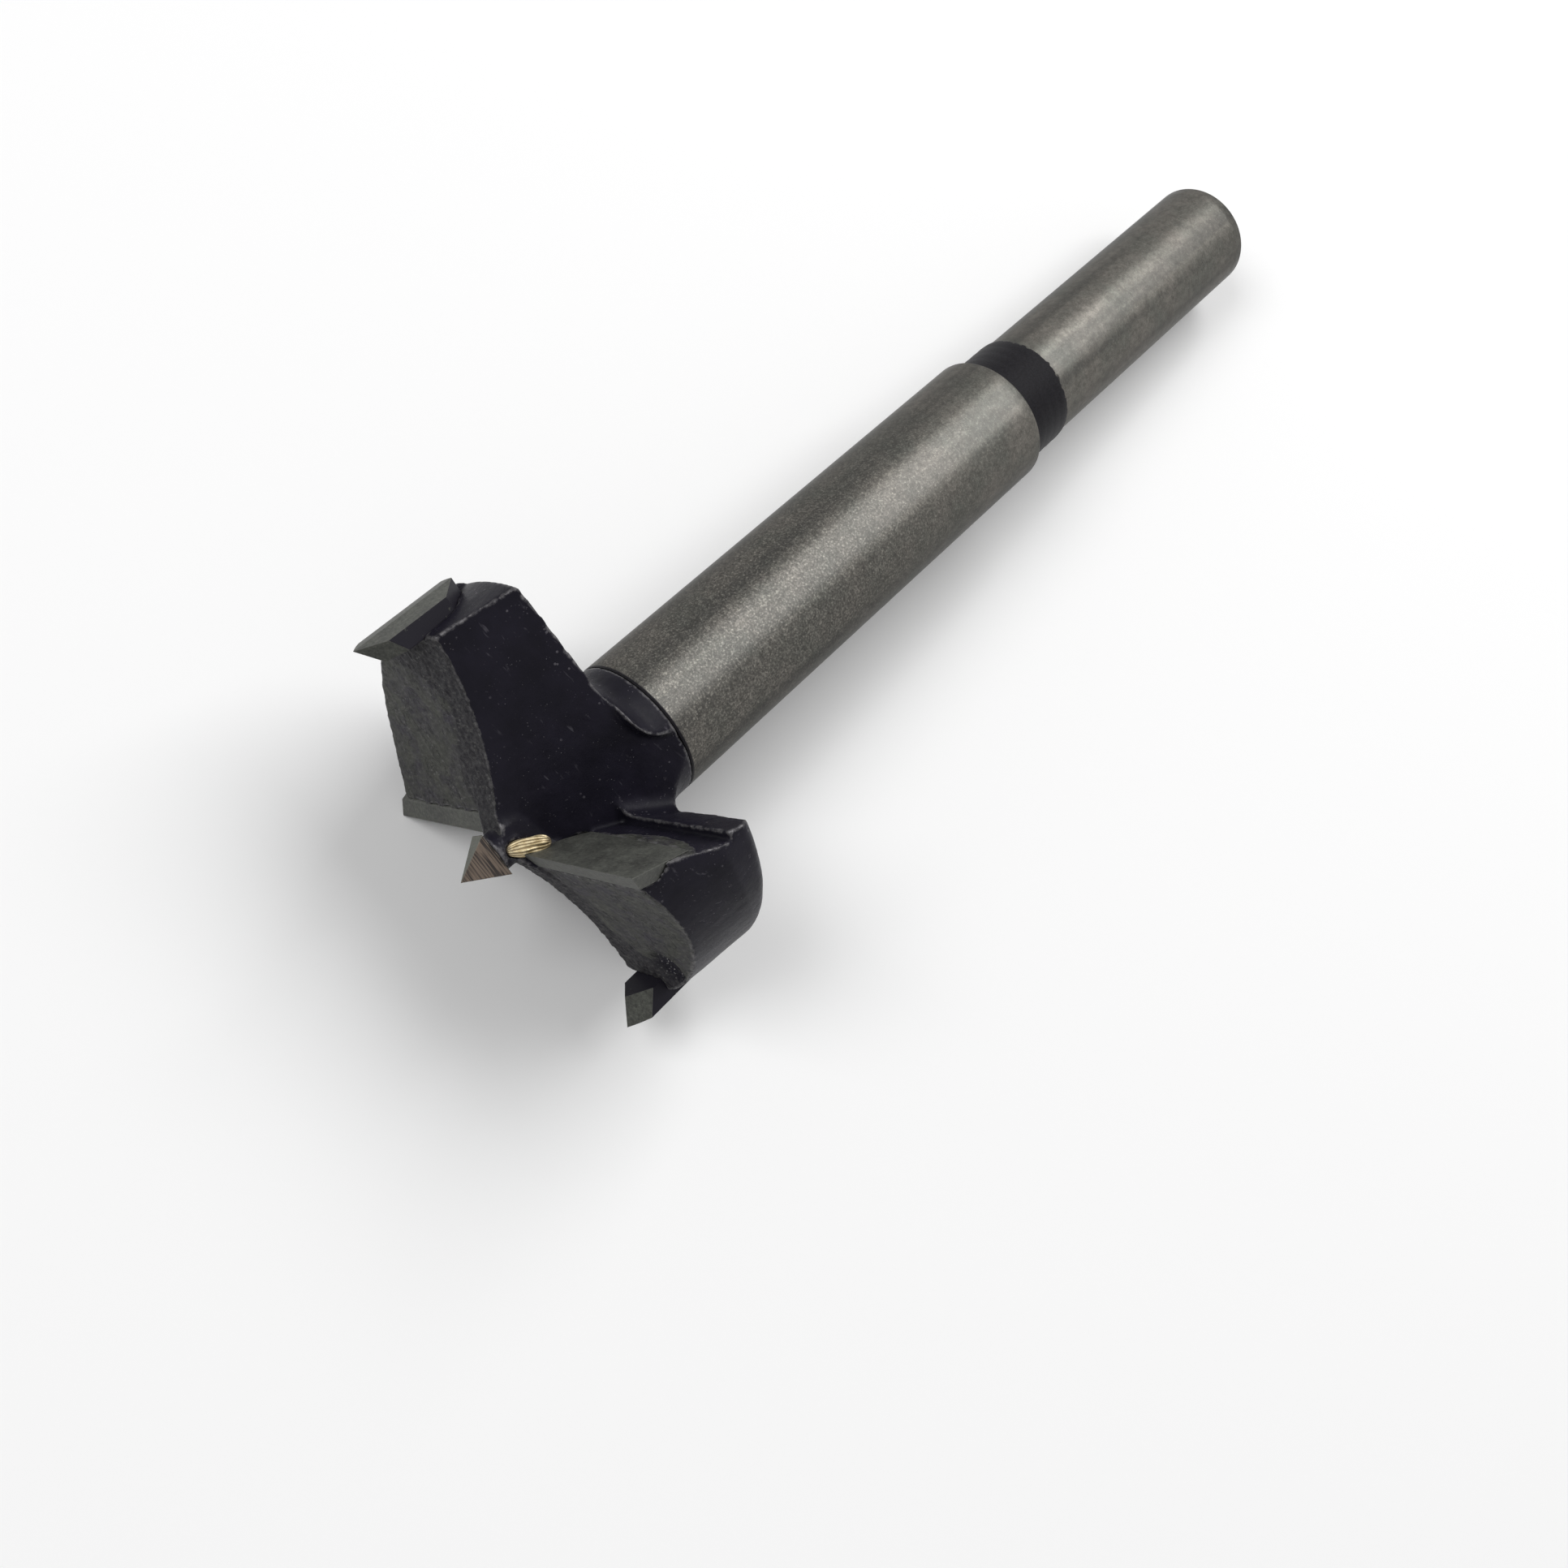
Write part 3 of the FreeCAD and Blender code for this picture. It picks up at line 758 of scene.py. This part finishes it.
def stem():
    """The stem from the edge of the paint to its end, with its real steps and chamfers."""
    profile = rings(BODY_R, PAINT_H, STEM_START)
    profile += straight(BODY_R, PAINT_H, BODY_RUN)
    profile += rings(BODY_R, BODY_TOP_H, BODY_CHAMFER)
    profile += rings(GROOVE_R, BODY_TOP_H, GROOVE_START)
    for i, (radius, height) in enumerate(straight(GROOVE_R, BODY_TOP_H, GROOVE_RUN)):
        profile.append((radius + GROOVE_WAVE * math.sin(GROOVE_WAVE_TURN * i), height))
    profile += rings(GROOVE_R, GROOVE_TOP_H, GROOVE_END)
    profile += rings(SHANK_R, GROOVE_TOP_H, SHANK_START)
    profile += straight(SHANK_R, GROOVE_TOP_H, SHANK_RUN)
    profile += rings(SHANK_R, SHANK_END_H, SHANK_CHAMFER)
    points = []
    for radius, height in profile:
        for i in range(STEM_SEGMENTS):
            a = 2 * math.pi * i / STEM_SEGMENTS
            points.append((radius * math.cos(a), radius * math.sin(a), height))
    faces = tube_faces(len(profile) - 1, STEM_SEGMENTS)
    piece = add_mesh("stem", points, faces, stem_material())
    piece.data.set_sharp_from_angle(angle=math.radians(CREASE_DEG))
    return piece


def cut_head():
    """The body's mesh in the tool's frame, cut off and closed at the edge of the paint."""
    shape = bmesh.new()
    shape.from_mesh(frame["nodes"]["body"].data)
    bmesh.ops.transform(shape, matrix=TO_TOOL, verts=shape.verts)
    bmesh.ops.remove_doubles(shape, verts=shape.verts, dist=WELD_DISTANCE)
    geometry = shape.verts[:] + shape.edges[:] + shape.faces[:]
    cut = bmesh.ops.bisect_plane(shape, geom=geometry, plane_co=(0, 0, PAINT_H * MM),
                                 plane_no=(0, 0, 1), clear_outer=True)
    rim = [e for e in cut["geom_cut"] if isinstance(e, bmesh.types.BMEdge)]
    bmesh.ops.contextual_create(shape, geom=rim)
    mesh = bpy.data.meshes.new("head")
    shape.to_mesh(mesh)
    shape.free()
    return mesh


def soft_skin(piece):
    """A piece's mesh laid anew on a fine grid, with softened edges."""
    remesh = piece.modifiers.new("voxels", "REMESH")
    remesh.mode = "VOXEL"
    remesh.voxel_size = VOXEL * MM
    remesh.use_smooth_shade = True
    smooth = piece.modifiers.new("soften", "SMOOTH")
    smooth.factor = EDGE_SOFTENING
    smooth.iterations = EDGE_TURNS
    bpy.context.view_layer.update()
    result = piece.evaluated_get(bpy.context.evaluated_depsgraph_get())
    mesh = bpy.data.meshes.new_from_object(result)
    piece.modifiers.clear()
    return mesh


def mesh_arrays(mesh):
    """A mesh's points in mm, its normals and its edges, as arrays."""
    points = np.empty(len(mesh.vertices) * 3, np.float32)
    mesh.vertices.foreach_get("co", points)
    normals = np.empty(len(mesh.vertices) * 3, np.float32)
    mesh.vertices.foreach_get("normal", normals)
    edges = np.empty(len(mesh.edges) * 2, np.int32)
    mesh.edges.foreach_get("vertices", edges)
    return points.reshape(-1, 3) * MM_PER_M, normals.reshape(-1, 3), edges.reshape(-1, 2)


def neighbour_mean(values, edges):
    """The mean of each point's neighbours."""
    total = np.zeros_like(values)
    count = np.zeros(len(values))
    for a, b in ((0, 1), (1, 0)):
        np.add.at(total, edges[:, a], values[edges[:, b]])
        np.add.at(count, edges[:, a], 1)
    count = np.maximum(count, 1)
    return total / (count[:, None] if values.ndim == 2 else count)


def evened(values, edges):
    for _ in range(SHARE_TURNS):
        values = 0.5 * values + 0.5 * neighbour_mean(values, edges)
    return values


def step(value, low, high):
    """A smooth step from 0 to 1."""
    share = np.clip((value - low) / (high - low), 0, 1)
    return share * share * (3 - 2 * share)


def on_floor(x, y, h, facing):
    """Which points lie on the hollow ground floor of wing B."""
    depth = np.hypot(x - GRIND_X, h - GRIND_H) - GRIND_R
    rise = np.where(y > FALL_Y, (y - FALL_Y) * FALL_SLOPE, 0)
    near = (np.abs(depth - rise) < FLOOR_REACH) & (facing < FLOOR_FACING)
    return near & (x > FLOOR_CLEAR) & (h > FLOOR_CLEAR)


def on_rake(x, out, h, facing):
    """The share of each point in the oval that is ground on wing B's rake face."""
    lean = (x - RAKE_X - out * RAKE_SPLAY) - (h - RAKE_H) * RAKE_LEAN
    face = (np.abs(lean) < RAKE_REACH) & (h < RAKE_TOP_H)
    across = (out - OVAL_MIDDLE[0]) / OVAL_HALF[0]
    upwards = (h - OVAL_MIDDLE[1]) / OVAL_HALF[1]
    return face * (facing < RAKE_FACING) * step(np.hypot(across, upwards), *OVAL_FADE)


def ground_shares(points, normals):
    """Shares of each point on the ground floors, on their heels, in the pocket and on the rakes."""
    floor, heel, rake = (np.zeros(len(points)) for _ in range(3))
    for side in (1, -1):
        x, y, h = points[:, 0] * side, points[:, 1] * side, points[:, 2]
        ground = on_floor(x, y, h, normals[:, 2])
        floor[ground] = 1
        crease = np.interp(x, HEEL_X, HEEL_Y)
        heel = np.maximum(heel, ground * step(y - crease, -HEEL_SOFT, HEEL_SOFT))
        rake = np.maximum(rake, on_rake(x, -y, h, normals[:, 0] * side))
    far = np.linalg.norm(points - POCKET_AT, axis=1)
    pocket = step(far, *(POCKET_R * share for share in POCKET_FADE))
    return floor, heel, pocket, rake


def skin_relief(points, floor, heel, pocket):
    """How far each point of the head is lifted, in mm."""
    relief = np.zeros(len(points))
    for i, place in enumerate(points.astype(float)):
        p = Vector(place)
        waves = noise.noise(Vector([c * s for c, s in zip(p, GROUND_WAVE_SCALE)]))
        lumps = noise.noise(p * LUMP_SCALE)
        grain = noise.noise(p * GRAIN_SCALE)
        ground = GROUND_WAVE * waves + GROUND_LUMPS * lumps
        torn = TORN_LUMPS * lumps + TORN_GRAIN * grain
        bare = ground * (1 - heel[i]) + torn * heel[i] - TORN_DROP * heel[i]
        painted = PAINT_WAVE * noise.noise(p * PAINT_WAVE_SCALE) + PAINT_LUMPS * lumps
        relief[i] = painted * (1 - floor[i]) + bare * floor[i]
        if pocket[i] > 0:
            hollow = POCKET_GRAIN * grain + POCKET_LUMPS * lumps - POCKET_DEPTH
            relief[i] += pocket[i] * floor[i] * hollow
    return relief * np.clip((PAINT_H - points[:, 2]) / RELIEF_FADE, 0, 1)


def shape_head(mesh):
    """Works out where the head is ground, where its edges are worn and get a painted highlight, and
    where its hollows get painted shade, and gives its skin a slight relief.
    """
    points, normals, edges = mesh_arrays(mesh)
    floor, heel, pocket, rake = (evened(s, edges) for s in ground_shares(points, normals))
    bend = np.einsum("ij,ij->i", points - neighbour_mean(points, edges), normals)
    bend = evened(bend, edges) / BEND_FOR_WEAR_AND_SHADE
    relief = skin_relief(points, floor, heel, pocket)
    moved = (points + normals * relief[:, None]) * MM
    mesh.vertices.foreach_set("co", moved.astype(np.float32).ravel())
    mesh.update()
    # convex places give worn paint with a painted highlight, concave places painted shade
    shares = {"floor": floor, "heel": heel, "pocket": pocket, "rake": rake,
              "wear_and_highlight": np.clip(bend, 0, 1), "hollow": np.clip(-bend, 0, 1)}
    for name, values in shares.items():
        set_attribute(mesh, name, values)


def head():
    """The painted head: the solid body's lower end, with softened edges and ground floors."""
    cut = cut_head()
    piece = add_object("head", cut)
    mesh = soft_skin(piece)
    piece.data = mesh
    mesh.name = "head"
    bpy.data.meshes.remove(cut)
    shape_head(mesh)
    lay_down(mesh)
    mesh.materials.clear()
    mesh.materials.append(head_material())
    return piece


def braze_bead():
    """The bead with its lengthwise ridges, rounded at both ends."""
    start, end = Vector(BRAZE_START), Vector(BRAZE_END)
    along = (end - start).normalized()
    side = along.cross(Vector((0, 0, 1))).normalized()
    over = along.cross(side)
    length = (end - start).length + 2 * BRAZE_R
    points, fold_shade, ends = [], [], []
    for row in range(BEAD_ROWS + 1):
        t = row / BEAD_ROWS
        dome = math.sqrt(max(0.0, 1 - abs(2 * t - 1) ** 3))
        middle = start + along * (t * length - BRAZE_R)
        for column in range(BEAD_COLUMNS):
            a = 2 * math.pi * column / BEAD_COLUMNS
            bent = a + RIDGE_SWAY * math.sin(2.6 * t + 1.0)
            ridge = math.cos(BEAD_RIDGES * bent)
            lump = noise.noise(Vector((2.0 * math.cos(a), 2.0 * math.sin(a), 3.0 * t)))
            radius = BRAZE_R * dome * (BEAD_FILL + RIDGE_DEPTH * ridge + BEAD_LUMPS * lump)
            points.append(middle + (side * math.cos(a) + over * math.sin(a)) * radius)
            # share of the painted shade between the ridges
            fold_shade.append(max(0.0, -ridge) ** 1.5)
            ends.append(abs(2 * t - 1) ** 4)
    piece = add_mesh("braze", points, tube_faces(BEAD_ROWS, BEAD_COLUMNS), braze_material())
    set_attribute(piece.data, "fold_shade", fold_shade)
    set_attribute(piece.data, "ends", ends)
    return piece


# Floor, light and camera

def add_floor():
    mesh = bpy.data.meshes.new("floor")
    signs = ((-1, -1), (1, -1), (1, 1), (-1, 1))
    mesh.from_pydata([(x * FLOOR_HALF, y * FLOOR_HALF, 0) for x, y in signs], [], [(0, 1, 2, 3)])
    mesh.materials.append(floor_material())
    piece = add_object("floor", mesh)
    piece.location = (0, 0, -FLOOR_DROP)


def add_lamp(name, place, width, height, power):
    lamp = bpy.data.lights.new(name, "AREA")
    lamp.shape = "RECTANGLE"
    lamp.size = width
    lamp.size_y = height
    lamp.energy = power
    piece = add_object(name, lamp)
    piece.location = place
    piece.rotation_euler = (Vector(LAMP_AIM) - Vector(place)).to_track_quat("-Z", "Y").to_euler()


def add_camera():
    data = bpy.data.cameras.new("camera")
    data.lens = LENS
    data.sensor_width = SENSOR_WIDTH
    data.clip_start = CLIP_START
    camera = add_object("camera", data)
    turn = Matrix((Vector(CAMERA_RIGHT), -Vector(CAMERA_DOWN), -Vector(CAMERA_AHEAD))).transposed()
    local = Matrix.Translation(Vector(CAMERA_AT) * MM) @ turn.to_4x4()
    camera.matrix_world = PLACE @ local
    bpy.context.scene.camera = camera


def add_world():
    """A soft world light, and a white background where it is seen or mirrored."""
    world = bpy.data.worlds.new("studio")
    world.use_nodes = True
    tree = world.node_tree
    strength = tree.nodes.new("ShaderNodeMapRange")
    strength.inputs["To Min"].default_value = WORLD_LEVEL
    strength.inputs["To Max"].default_value = 1.0
    tree.links.new(seen(tree), strength.inputs["Value"])
    background = tree.nodes["Background"]
    background.inputs["Color"].default_value = (*WHITE, 1.0)
    tree.links.new(strength.outputs["Result"], background.inputs["Strength"])
    bpy.context.scene.world = world


# Build

head_piece = head()
stem_piece = stem()
for piece in (head_piece, stem_piece):
    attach(piece, "root")
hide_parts("body")
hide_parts("body")

bead_piece = braze_bead()
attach(bead_piece, "root")
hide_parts("braze_fillet")

carbide = carbide_material()
painted_carbide = spur_material()
looks = {"lifter_a": carbide, "lifter_b": carbide, "spur_a": painted_carbide,
         "spur_b": painted_carbide, "centre_point": point_material()}
for name, material in looks.items():
    slots = frame["nodes"][name].data.materials
    slots.clear()
    slots.append(material)

add_floor()
for name, values in LAMPS.items():
    add_lamp(name, *values)
add_camera()
add_world()
bpy.context.scene.view_settings.view_transform = "Standard"
